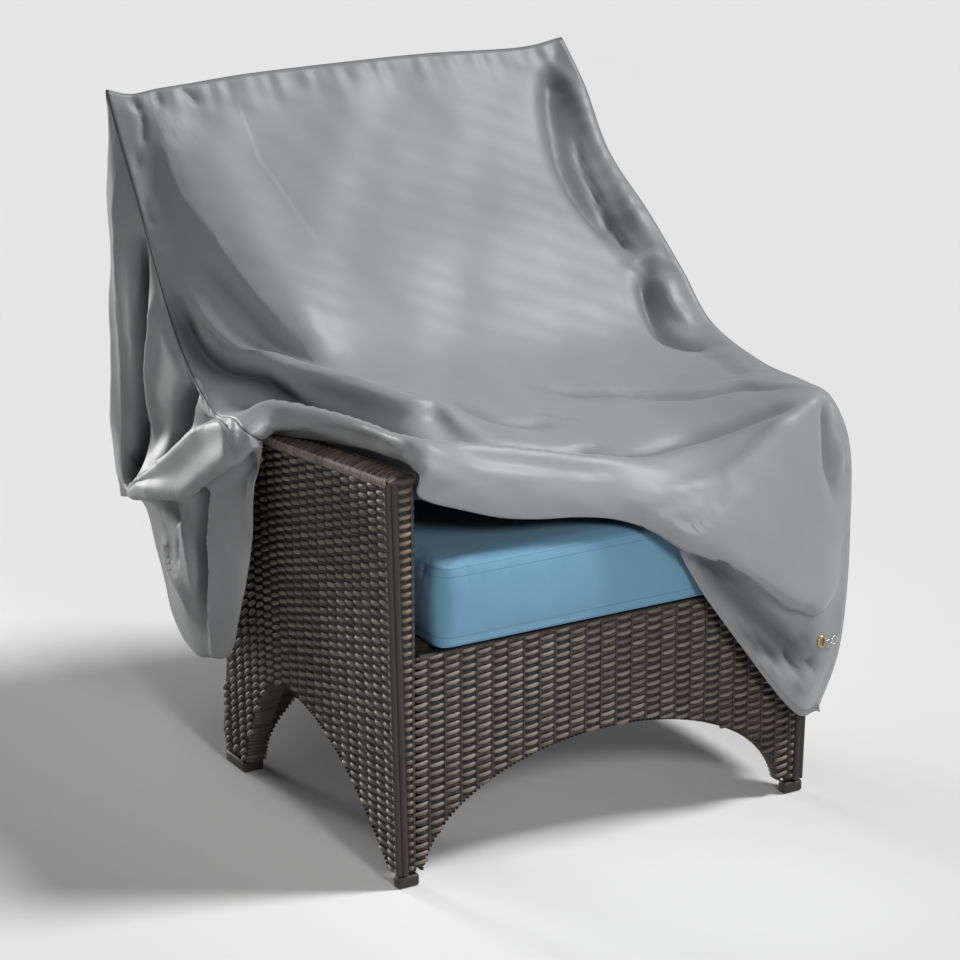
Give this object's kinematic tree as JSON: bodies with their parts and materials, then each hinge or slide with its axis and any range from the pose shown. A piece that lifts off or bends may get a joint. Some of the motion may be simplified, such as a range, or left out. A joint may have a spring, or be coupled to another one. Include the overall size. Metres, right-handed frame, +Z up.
{
  "type": "patio chair cover on armchair",
  "caption": "Loose grey polyester furniture cover pulled part-way over a woven garden armchair with a blue box cushion.",
  "frame": {"origin": "on the ground, under the middle of the whole footprint (chair and draped cover)", "axes": "+X to the right as the picture's viewer faces the chair's front, +Y from the front to the back, +Z up"},
  "size_m": [0.8706, 0.9396, 1.0106],
  "materials": {
    "grey_polyester": "coated woven polyester, slight sheen",
    "woven_resin": "woven resin strand, brown and grey streaks",
    "blue_canvas": "plain woven canvas",
    "dark_plastic": "moulded",
    "brass": "polished",
    "bright_steel": "bright plated"
  },
  "bodies": {
    "root": {"cover_front_panel": "grey_polyester", "cover_left_side_panel": "grey_polyester", "cover_right_side_panel": "grey_polyester", "cover_back_panel": "grey_polyester", "brass_eyelet": "brass", "steel_link": "bright_steel", "steel_ring": "bright_steel", "armchair_left_side": "woven_resin", "armchair_right_side": "woven_resin", "armchair_front_apron": "woven_resin", "armchair_rear_apron": "woven_resin", "armchair_seat_deck": "woven_resin", "armchair_back_rest": "woven_resin", "seat_cushion": "blue_canvas", "front_left_glide": "dark_plastic", "rear_left_glide": "dark_plastic", "front_right_glide": "dark_plastic", "rear_right_glide": "dark_plastic"}
  },
  "joints": []
}
